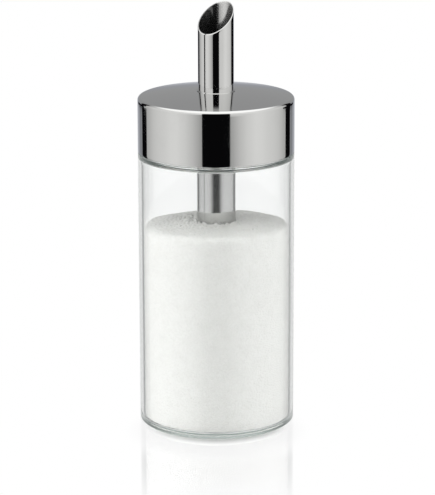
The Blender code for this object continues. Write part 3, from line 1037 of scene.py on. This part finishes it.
@dataclass
class Sugar(SubAssembly):
    """The sugar: it fills the jar round the sleeve, and its top is tilted, heaped and uneven."""

    jar: Jar
    headspace: float = 0.0281
    gap: float = 0.0003
    lift: float = 0.0013
    edge_round: float = 0.0020
    edge_depth: float = 0.0040
    finer_depth: float = 0.0044
    right_rise: float = 0.0002
    front_rise: float = 0.00135
    bend_across: float = 0.0015
    bend_along: float = 0.0021
    crater: float = 0.0005
    crater_width: float = 0.0028
    uneven: Waves = Waves(0.00030, 0.020, 0.0012, 28, 5)
    rough: Waves = Waves(0.0010, 0.004, 0.0009, 20, 8)
    grains: Waves = Waves(0.0006, 0.0022, 0.0008, 40, 9)
    fill_drop: float = 0.0180
    slot_outer: float = 0.00775
    slot_inner: float = 0.00687
    slot_floor: float = 0.0097
    slot_round: float = 0.0002
    sleeve_radius: float = 0.00745
    row_spacing: float = 0.0020
    top_spacing: float = 0.0004
    columns: int = 256

    def profile(self) -> np.ndarray:
        """Round the sugar's section, with finer steps at its top.

        Returns:
            Points from the foot's middle, up the outside, over the top, and down and up the sleeve's slot.
        """
        outer = self.jar.bore - self.gap
        foot = self.jar.floor - self.jar.floor_dip + self.gap
        level = self.jar.body_height - self.headspace
        core = level - self.fill_drop
        corners = rounded_profile(
            (
                *self.jar.floor_rise(self.gap),
                Corner(outer, foot, self.jar.floor_round),
                Corner(outer, level, self.edge_round),
                Corner(self.slot_outer, level, self.slot_round),
                Corner(self.slot_outer, self.slot_floor),
                Corner(self.slot_inner, self.slot_floor),
                Corner(self.slot_inner, core),
                Corner(0.0, core),
            ),
            steps=3,
        )
        coarse = filled_in(corners, self.row_spacing, Closing.POLES)
        top = (coarse[:, 0] > self.slot_outer - HAIR) & (coarse[:, 1] > level - self.finer_depth)
        return finer(coarse, top, self.top_spacing)

    def rise(self, skin: Skin) -> np.ndarray:
        """How far the top stands above its level.

        With u and v for x and y over the bore, it is a lift, plus a tilt in u and v, less a bend in the
        squares of both, less a crater that falls off as a bell curve of the distance from the sleeve, plus
        ground that is uneven and grainy all over and rougher in the crater.

        Args:
            skin: The sugar's skin.

        Returns:
            The rise at each point.
        """
        x = skin.radius * np.cos(skin.angle)
        y = skin.radius * np.sin(skin.angle)
        u, v = x / self.jar.bore, y / self.jar.bore
        near = np.exp(-(((skin.radius - self.sleeve_radius) / self.crater_width) ** 2))
        tilt = self.lift + self.right_rise * u - self.front_rise * v
        bend = self.bend_across * u**2 + self.bend_along * v**2
        ground = self.uneven.rise(x, y) + near * self.rough.rise(x, y) + self.grains.rise(x, y)
        return tilt - bend - self.crater * near + ground

    def build(self) -> None:
        """Turns the profile and lifts its top; the sides go with it near the top only."""
        skin = Skin.turned(self.profile(), even_angles(self.columns), Closing.POLES)
        level = self.jar.body_height - self.headspace
        outside = skin.radius > (self.slot_outer + self.slot_inner) / 2
        share = np.clip((skin.height - level) / self.edge_depth + 1.0, 0.0, 1.0) * outside
        skin.height += self.rise(skin) * share
        self.add(skin, "sugar_heap", "jar", LooseSugar("loose_sugar"), "sugar", "sugar_fill")


@dataclass
class ScrewLid(SubAssembly):
    """The drawn steel cap, and the moulded insert, the washer and the seals inside it."""

    radius: float = 0.0300
    foot: float = 0.1067
    height: float = 0.0212
    crown: float = 0.0023
    wall: float = 0.0006
    edge_round: float = 0.0013
    foot_round: float = 0.0002
    hole_radius: float = 0.0070
    lip_round: float = 0.0009
    lip_length: float = 0.0007
    row_spacing: float = 0.0006
    dome_rows: int = 44
    edge_rows: int = 13
    lip_rows: int = 9
    nose_rows: int = 7
    columns: int = 224

    def crown_height(self, radius: np.ndarray) -> np.ndarray:
        """The domed top: its rise falls off as the square of the distance from the axis."""
        span = self.radius - self.edge_round
        return self.foot + self.height + self.crown * (1.0 - (radius / span) ** 2)

    def profile(self) -> np.ndarray:
        """Round the cap's sheet.

        Returns:
            Points from the foot's inside, up the skirt, over the dome, round the hole's lip and back.
        """
        lip = self.hole_radius + self.lip_round
        edge = self.radius - self.edge_round
        dome = np.linspace(edge, lip, self.dome_rows)
        dome = np.stack((dome, self.crown_height(dome)), axis=-1)
        lip_middle = (lip, float(self.crown_height(np.array(lip))) - self.lip_round)
        rolled = arc(self.lip_round, lip_middle, 90.0, 180.0, self.lip_rows)[1:]
        inside = arc(self.lip_round - self.wall, lip_middle, 90.0, 180.0, self.lip_rows)[1:]
        nose_middle = (self.hole_radius + self.wall / 2, lip_middle[1] - self.lip_length + self.wall / 2)
        nose = arc(self.wall / 2, nose_middle, 180.0, 360.0, self.nose_rows)
        edge_middle = (edge, self.foot + self.height - self.edge_round)
        fillet = arc(self.edge_round, edge_middle, 0.0, 90.0, self.edge_rows)
        hollow = arc(self.edge_round - self.wall, edge_middle, 0.0, 90.0, self.edge_rows)
        skirt = rounded_profile(
            (
                Corner(self.radius - self.wall, edge_middle[1]),
                Corner(self.radius - self.wall, self.foot, self.foot_round),
                Corner(self.radius, self.foot, self.foot_round),
                Corner(self.radius, edge_middle[1]),
            ),
            steps=4,
        )[1:-1]
        under = dome[1:-1] - (0.0, self.wall)
        outside = (skirt, fillet, dome[1:], rolled, nose)
        return np.concatenate((*outside, inside[::-1], under[::-1], hollow[::-1]))

    def build(self) -> None:
        """Turns the cap and dresses the pieces that it hides."""
        profile = filled_in(self.profile(), self.row_spacing, Closing.LOOP)
        skin = Skin.turned(profile, even_angles(self.columns), Closing.LOOP)
        self.add(skin, "lid_cap", "lid", MirrorSteel("mirror_lid_steel"), "lid_steel", "lid_shell")
        silicone = MilkySilicone("milky_silicone")
        self.dress("lid_insert", MouldedPlastic("moulded_plastic"), "insert_plastic")
        self.dress("neck_gasket", silicone, "silicone")
        self.dress("tube_seal", silicone, "silicone")
        self.dress("retaining_washer", SatinSteel("satin_spring_steel"), "spring_steel")


@dataclass
class Spout(SubAssembly):
    """The spout tube with its slanted mouth, seam and bead, and the flap, pin and ring that it carries."""

    radius: float = 0.00685
    wall: float = 0.0005
    foot: float = 0.0984
    foot_round: float = 0.00015
    land_radius: float = 0.00707
    land_height: float = 0.0010
    land_round: float = 0.0001
    groove_height: float = 0.0012
    groove_radius: float = 0.00620
    bead_foot: float = 0.12556
    bead_height: float = 0.0012
    bead_radius: float = 0.00795
    bead_round: float = 0.0004
    slope: float = 0.0002
    slope_round: float = 0.0002
    inner_round: float = 0.0003
    mouth_middle: float = 0.15805
    mouth_round: float = 0.00018
    mouth_depth: float = 0.0003
    slant: float = math.radians(39.3)
    mouth_turn: float = math.radians(35.0)
    seam_turn: float = math.radians(38.0)
    seam_steep: float = 0.00036
    seam_gentle: float = 0.0010
    seam_depth: float = 0.00023
    seam_reach: float = 0.15
    seam_columns: int = 91
    row_spacing: float = 0.0009
    columns: int = 200
    finish: MirrorSteel = MirrorSteel("mirror_tube_steel", smudge=0.03, unpolished_within=0.0066)

    def profile(self) -> np.ndarray:
        """Round the wall's section.

        Returns:
            Points up the outside, over the foot's lands and groove, the bead and the mouth, and back.
        """
        groove_foot = self.foot + self.land_height
        groove_top = groove_foot + self.groove_height
        land_top = groove_top + self.land_height
        bore = self.radius - self.wall
        groove_bore = self.groove_radius - self.wall
        bead_middle = self.bead_foot + self.bead_height / 2
        bead_top = self.bead_foot + self.bead_height
        return rounded_profile(
            (
                Corner(bore, self.foot, self.land_round),
                Corner(self.land_radius, self.foot, self.foot_round),
                Corner(self.land_radius, groove_foot, self.land_round),
                Corner(self.groove_radius, groove_foot, self.land_round),
                Corner(self.groove_radius, groove_top, self.land_round),
                Corner(self.land_radius, groove_top, self.land_round),
                Corner(self.land_radius, land_top - self.slope, self.land_round),
                Corner(self.radius, land_top, self.land_round),
                Corner(self.radius, self.bead_foot - self.slope, self.slope_round),
                Corner(self.bead_radius, bead_middle, self.bead_round),
                Corner(self.radius, bead_top + self.slope, self.slope_round),
                Corner(self.radius, self.mouth_middle, self.mouth_round),
                Corner(bore, self.mouth_middle, self.mouth_round),
                Corner(bore, bead_top + 2 * self.slope, self.bead_round),
                Corner(self.bead_radius - 2 * self.wall, bead_middle, self.inner_round),
                Corner(bore, self.bead_foot - 2 * self.slope, self.bead_round),
                Corner(bore, groove_top + self.land_height, self.bead_round),
                Corner(groove_bore, groove_top, self.inner_round),
                Corner(groove_bore, groove_foot, self.inner_round),
                Corner(bore, groove_foot - 4 * self.slope, self.inner_round),
            ),
            steps=5,
        )

    def build(self) -> None:
        """Turns the wall, then slants the mouth and presses in the seam.

        The slant adds to a point's height its distance uphill times the slope, in full at the mouth and less
        further down, to nothing just above the bead. The seam is a dent that is steep on one side and gentle,
        as the square of what is left of its width, on the other.
        """
        profile = filled_in(self.profile(), self.row_spacing, Closing.LOOP)
        seam = left_of_front(self.seam_turn)
        columns = even_angles(self.columns, seam, self.seam_reach, self.seam_columns)
        skin = Skin.turned(profile, columns, Closing.LOOP)
        start = self.bead_foot + 2 * self.bead_height
        share = np.clip((skin.height - start) / (self.mouth_middle - self.mouth_depth - start), 0.0, 1.0)
        uphill = -skin.radius * np.cos(skin.angle - left_of_front(self.mouth_turn))
        outside = skin.radius > self.radius - self.wall / 2
        skin.height += share * uphill * math.tan(self.slant)
        past = skin.past(seam, self.radius)
        steep = np.clip(1.0 + past / self.seam_steep, 0.0, 1.0) * (past <= 0)
        gentle = np.clip(1.0 - past / self.seam_gentle, 0.0, 1.0) ** 2 * (past > 0)
        skin.radius -= self.seam_depth * (steep + gentle) * outside
        self.add(skin, "spout_pipe", "lid", self.finish, "tube_steel", "spout_tube")
        self.dress("flap", MirrorSteel("mirror_flap_steel", roughness=0.12), "tube_steel")
        self.dress("flap_pin", SatinSteel("satin_pin_steel"), "spring_steel")
        self.dress("sleeve_grip_ring", MilkySilicone("milky_silicone"), "silicone")


@dataclass
class DosingSleeve(SubAssembly):
    """The thin sleeve that slides on the spout tube's foot, crimped in at its top."""

    bore: float = 0.00717
    radius: float = 0.00745
    foot: float = 0.0100
    foot_round: float = 0.0001
    top: float = 0.1026
    shoulder: float = 0.0002
    shoulder_round: float = 0.0003
    crimp_bore: float = 0.00695
    crimp: float = 0.0008
    crimp_round: float = 0.00008
    seam_turn: float = math.radians(39.0)
    seam_width: float = 0.00032
    seam_depth: float = 0.00018
    seam_reach: float = 0.06
    seam_columns: int = 33
    row_spacing: float = 0.0015
    columns: int = 176

    def profile(self) -> np.ndarray:
        """Round the wall's section, with the crimp at its top.

        Returns:
            Points up the outside and down the inside.
        """
        return rounded_profile(
            (
                Corner(self.bore, self.foot, self.foot_round),
                Corner(self.radius, self.foot, self.foot_round),
                Corner(self.radius, self.top - self.shoulder, self.shoulder_round),
                Corner(self.bore, self.top, self.crimp_round),
                Corner(self.crimp_bore, self.top, self.crimp_round),
                Corner(self.crimp_bore, self.top - self.crimp, self.crimp_round),
                Corner(self.bore, self.top - self.crimp, self.crimp_round),
            ),
            steps=4,
        )

    def build(self) -> None:
        """Turns the wall and presses its seam in from the outside, as deep as a bell curve across it."""
        profile = filled_in(self.profile(), self.row_spacing, Closing.LOOP)
        seam = left_of_front(self.seam_turn)
        columns = even_angles(self.columns, seam, self.seam_reach, self.seam_columns)
        skin = Skin.turned(profile, columns, Closing.LOOP)
        away = skin.past(seam, self.radius)
        outside = skin.radius > (self.radius + self.bore) / 2
        skin.radius -= self.seam_depth * np.exp(-((away / self.seam_width) ** 2)) * outside
        steel = MirrorSteel("mirror_sleeve_steel")
        self.add(skin, "measuring_sleeve", "sleeve", steel, "tube_steel", "dosing_sleeve")


# Studio


def seen_directly(recipe: Recipe) -> Wire:
    """Tells the rays that show a thing from those that light a matt piece.

    Args:
        recipe: The node tree.

    Returns:
        1 for the camera's rays, mirrored or through glass too, and 0 once they have met a matt piece.
    """
    seen = recipe.light_path("Is Camera Ray").maths("MAXIMUM", recipe.light_path("Is Glossy Ray"))
    seen = seen.maths("MAXIMUM", recipe.light_path("Is Transmission Ray"))
    return seen * (1.0 - recipe.light_path("Diffuse Depth").maths("MINIMUM", 1.0))


@dataclass
class Camera:
    """The camera at the photograph's angle, with the shift that its framing needs."""

    distance: float = 0.990
    tilt: float = math.radians(14.3)
    roll: float = math.radians(-0.16)
    aim_height: float = 0.07806
    aim_side: float = 0.00044
    lens: float = 186.5
    sensor: float = 36.0
    shift: float = -0.0505
    nearest: float = 0.01

    def build(self) -> None:
        """Makes the camera and sets it as the scene's."""
        data = bpy.data.cameras.new("camera")
        data.sensor_width = self.sensor
        data.lens = self.lens
        data.shift_y = self.shift
        data.clip_start = self.nearest
        camera = bpy.data.objects.new("camera", data)
        across = self.distance * math.cos(self.tilt)
        up = self.distance * math.sin(self.tilt)
        camera.location = (self.aim_side, -across, self.aim_height + up)
        upright = Matrix.Rotation(math.pi / 2 - self.tilt, 3, "X")
        camera.rotation_euler = (upright @ Matrix.Rotation(self.roll, 3, "Z")).to_euler()
        bpy.context.scene.collection.objects.link(camera)
        bpy.context.scene.camera = camera


@dataclass
class PaleFloor:
    """A flat disc that is white in the distance and keeps the jar's shadow and faint mirror image near it.

    The spans are distances in metres from the jar's axis, or from a place in front of it where a shift
    is given.
    """

    tone: Colour = (0.96, 0.96, 0.96)
    reach: float = 6.0
    thickness: float = 0.00005
    columns: int = 96
    roughness: float = 0.7
    shadow_shift: float = 0.010
    shadow_span: Span = (0.0185, 0.0279)
    shadow_tone: float = 0.45
    white_span: Span = (0.0245, 0.0274)
    dimmed_shift: float = 0.018
    dimmed_span: Span = (0.0235, 0.0370)
    dimmed_tone: float = 0.93
    under_span: Span = (0.0278, 0.0292)
    glow_tone: Colour = (0.46, 0.51, 0.49)
    glow_shade: Colour = (0.09, 0.105, 0.10)
    glow_aside: Span = (0.010, 0.026)
    glow_rim: Span = (0.0272, 0.0282)
    gloss: float = 0.27
    gloss_near: float = 0.4
    gloss_near_span: Span = (0.042, 0.060)
    gloss_far_span: Span = (0.060, 0.118)

    def lit(self, recipe: Recipe, away: Wire) -> Wire:
        """The floor without its gloss: a painted shadow round the jar, white beyond with painted shade ahead
        of it, and a painted green-grey glow under it.

        Args:
            recipe: The floor's node tree.
            away: The distance from the jar's axis.

        Returns:
            The shader.
        """
        shadow = recipe.from_axis((0.0, self.shadow_shift, 0.0))
        tone = recipe.mixed(shadow.step(*self.shadow_span), darker(self.tone, self.shadow_tone), self.tone)
        matt = recipe.shader(Base_Color=tone, Roughness=self.roughness, Specular_IOR_Level=0.0)
        # Painted shade: the white is dimmed in a ring round a place ahead of the jar.
        ahead = recipe.from_axis((0.0, self.dimmed_shift, 0.0)).step(*self.dimmed_span)
        white = recipe.emission(recipe.mixed(ahead, darker(WHITE, self.dimmed_tone), WHITE))
        direct = seen_directly(recipe)
        lit = recipe.blended(shadow.step(*self.white_span) * direct, matt, white)
        # Painted glow under the glass foot, with painted shade at its sides and rim.
        aside = abs(recipe.parts(recipe.place())[0]).step(*self.glow_aside)
        glow = recipe.mixed(aside, self.glow_tone, self.glow_shade)
        glow = recipe.emission(recipe.mixed(away.step(*self.glow_rim), glow, self.glow_shade))
        return recipe.blended((1.0 - away.step(*self.under_span)) * direct, lit, glow)

    def build(self) -> None:
        """Makes the disc, which metal looks through: there the world's lower half takes the floor's place."""
        below = -self.thickness
        profile = np.array([(0.0, below), (self.reach, below), (self.reach, 0.0), (0.0, 0.0)])
        skin = Skin.turned(profile, even_angles(self.columns), Closing.POLES)
        floor = bpy.data.objects.new("floor", skin.mesh("floor"))
        material = bpy.data.materials.new("pale_floor")
        material.use_nodes = True
        recipe = Recipe(material.node_tree)
        away = recipe.from_axis()
        mirror = recipe.node("ShaderNodeBsdfGlossy", values={"Color": WHITE, "Roughness": 0.0})
        share = self.gloss * (1.0 - away.step(*self.gloss_far_span))
        share = share * away.step(*self.gloss_near_span).between(self.gloss_near, 1.0)
        surface = recipe.blended(share, self.lit(recipe, away), mirror)
        mirrored = recipe.light_path("Glossy Depth").maths("MINIMUM", 1.0)
        surface = recipe.blended(mirrored, surface, recipe.node("ShaderNodeBsdfTransparent"))
        recipe.node("ShaderNodeOutputMaterial", values={"Surface": surface})
        floor.data.materials.append(material)
        bpy.context.scene.collection.objects.link(floor)


@dataclass
class StudioLight:
    """The world: white behind everything, soft light on matt pieces, and the studio's walls in the metal.

    Directions are in degrees: away from the camera's side to either hand, up to 180 behind the jar, or above
    the horizon. Stops are such turns with the grey that is seen there.
    """

    fill: float = 0.21
    side_light: float = 3.0
    side_rise: Span = (18.0, 86.0)
    side_fall: Span = (91.0, 107.0)
    stronger_left: float = 0.27
    warmth: float = 0.995
    floor_image: Span = (6.0, 8.0)
    low_stops: Stops = (
        (0, 0.42), (21, 0.42), (26, 0.52), (34, 0.66), (46, 0.81), (60, 0.90), (70, 0.89), (81, 0.83),
        (93, 0.79), (104, 0.72), (117, 0.56), (126, 0.48), (131, 0.45), (146, 0.24), (151, 0.36), (158, 0.43),
        (168, 0.60), (180, 0.62),
    )
    high_stops: Stops = ((0, 0.90), (60, 0.95), (104, 0.80), (126, 0.52), (140, 0.35), (180, 0.36))
    horizon: Span = (-7.0, 3.0)
    spout_from: Span = (-11.76, -11.60)
    spout_to: Span = (-8.0, -6.0)
    right_side: Span = (-1.0, 1.0)
    screen_rise: Span = (20.0, 21.0)
    screen_fall: Span = (32.0, 56.0)
    screen_share: float = 0.8
    screen_tone: Colour = (0.83, 0.83, 0.83)
    panel: Span = (32.0, 52.0)
    panel_tone: Colour = (1.38, 1.38, 1.38)
    opening: Span = (20.0, 20.8)
    slot: Span = (122.3, 139.5)
    slot_blur: float = 1.0
    spout_slot_shift: Span = (7.7, 22.0)
    spout_slot_right: Span = (15.0, 7.0)
    dark_top: Span = (26.0, 32.0)
    dark_tone: Colour = (0.003, 0.003, 0.0035)
    cool_span: Span = (120.0, 150.0)
    cool_top: Span = (1.0, 9.0)
    cool_share: float = 0.75
    cool_tint: Colour = (0.95, 0.975, 1.05)
    warm_tint: Colour = (1.0, 1.0, 0.985)
    on_glass_stops: Stops = ((0, 0.04), (12, 0.10), (30, 0.45), (55, 0.85), (90, 0.92), (180, 0.95))
    through_glass_stops: Stops = (
        (0, 0.06), (13, 0.07), (19, 0.20), (27, 0.48), (35, 0.72), (46, 0.85), (60, 0.90), (104, 0.80),
        (122, 0.62), (126, 0.22), (146, 0.24), (152, 0.84), (180, 0.93),
    )
    through_glass_top: Span = (-9.0, -2.0)
    through_glass_tone: Colour = (0.92, 0.93, 0.92)

    def build(self) -> None:
        """Makes the world, which answers each kind of ray with its own picture of the studio."""
        world = bpy.data.worlds.new("studio")
        world.use_nodes = True
        bpy.context.scene.world = world
        recipe = Recipe(world.node_tree)
        x, y, z = recipe.parts(recipe.node("ShaderNodeTexCoord", output="Generated"))
        around = x.maths("ARCTAN2", y * -1.0) * (180.0 / math.pi)
        height = z.maths("ARCSINE") * (180.0 / math.pi)
        mirrored = recipe.light_path("Glossy Depth").maths("MINIMUM", 1.0)
        glazed = recipe.light_path("Transmission Depth").maths("MINIMUM", 1.0)
        sharp = recipe.light_path("Is Singular Ray")
        on_glass = recipe.by_turn(abs(around), self.on_glass_stops)
        polished = recipe.mixed(sharp, self.walls(recipe, around, height), on_glass)
        through_glass = recipe.by_turn(abs(around), self.through_glass_stops)
        high_up = height.step(*self.through_glass_top)
        through_glass = recipe.mixed(high_up, through_glass, self.through_glass_tone)
        from_floor = sharp * height.step(*self.floor_image)
        mirrored = mirrored * (1.0 - from_floor * (1.0 - glazed))
        shown = recipe.mixed(mirrored, WHITE, recipe.mixed(glazed, polished, through_glass))
        colour = recipe.mixed(seen_directly(recipe), self.soft_light(recipe, x, around), shown)
        sky = recipe.node("ShaderNodeBackground", values={"Color": colour, "Strength": 1.0})
        recipe.node("ShaderNodeOutputWorld", values={"Surface": sky})

    def soft_light(self, recipe: Recipe, x: Wire, around: Wire) -> Wire:
        """Light for matt pieces: a wide soft light on each side, the left one stronger, and a weak fill.

        Args:
            recipe: The world's node tree.
            x: The direction's part to the right.
            around: Its turn from the camera's side, less than 0 to the left.

        Returns:
            The light's colour and strength.
        """
        turn = abs(around)
        sides = turn.step(*self.side_rise) * (1.0 - turn.step(*self.side_fall)) * self.side_light
        strength = sides - self.stronger_left * x + self.fill
        return recipe.vector(strength, strength, strength * self.warmth)

    def walls(self, recipe: Recipe, around: Wire, height: Wire) -> Wire:
        """What the metal mirrors.

        Below the horizon the pale floor is brightest at the sides and dims towards the camera and towards
        the back. Above it the side walls are white and the back wall is grey, and a bright panel hangs
        overhead. A dark opening stands at the camera's side, and two dark slots stand beside the back wall.
        The spout looks up at them more steeply than the lid does, sees the slots further back and wider, and
        a white screen right of the opening.

        Args:
            recipe: The world's node tree.
            around: The direction's turn from the camera's side, less than 0 to the left.
            height: Its height above the horizon.

        Returns:
            The colour.
        """
        turn = abs(around)
        low, high = recipe.by_turn(turn, self.low_stops), recipe.by_turn(turn, self.high_stops)
        walls = recipe.mixed(height.step(*self.horizon), low, high)
        spout = height.step(*self.spout_from) * (1.0 - height.step(*self.spout_to))
        right = around.step(*self.right_side)
        screen = right * turn.step(*self.screen_rise) * (1.0 - turn.step(*self.screen_fall))
        walls = recipe.mixed(spout * screen * self.screen_share, walls, self.screen_tone)
        walls = recipe.mixed(height.step(*self.panel), walls, self.panel_tone)
        edges = zip(self.slot, self.spout_slot_shift, self.spout_slot_right)
        start, stop = (edge + spout * (shift - right * less) for edge, shift, less in edges)
        slots = turn.step(start, start + self.slot_blur) * (1.0 - turn.step(stop - self.slot_blur, stop))
        dark = (1.0 - turn.step(*self.opening)).maths("MAXIMUM", slots) * (1.0 - height.step(*self.dark_top))
        walls = recipe.mixed(dark, walls, self.dark_tone)
        cool = turn.step(*self.cool_span) * (1.0 - height.step(*self.cool_top) * self.cool_share)
        tint = recipe.mixed(cool, self.warm_tint, self.cool_tint)
        return recipe.node("ShaderNodeVectorMath", {"operation": "MULTIPLY"}, {0: walls, 1: tint})


def main() -> None:
    """Builds the studio and then each sub-assembly, from the jar up."""
    logging.basicConfig(level=logging.INFO, format="%(name)s: %(message)s", stream=sys.stdout)
    bpy.context.scene.view_settings.view_transform = "Standard"
    jar = Jar()
    for made in (Camera(), PaleFloor(), StudioLight(), jar, Sugar(jar), ScrewLid(), Spout(), DosingSleeve()):
        made.build()


if __name__ == "__main__":
    main()
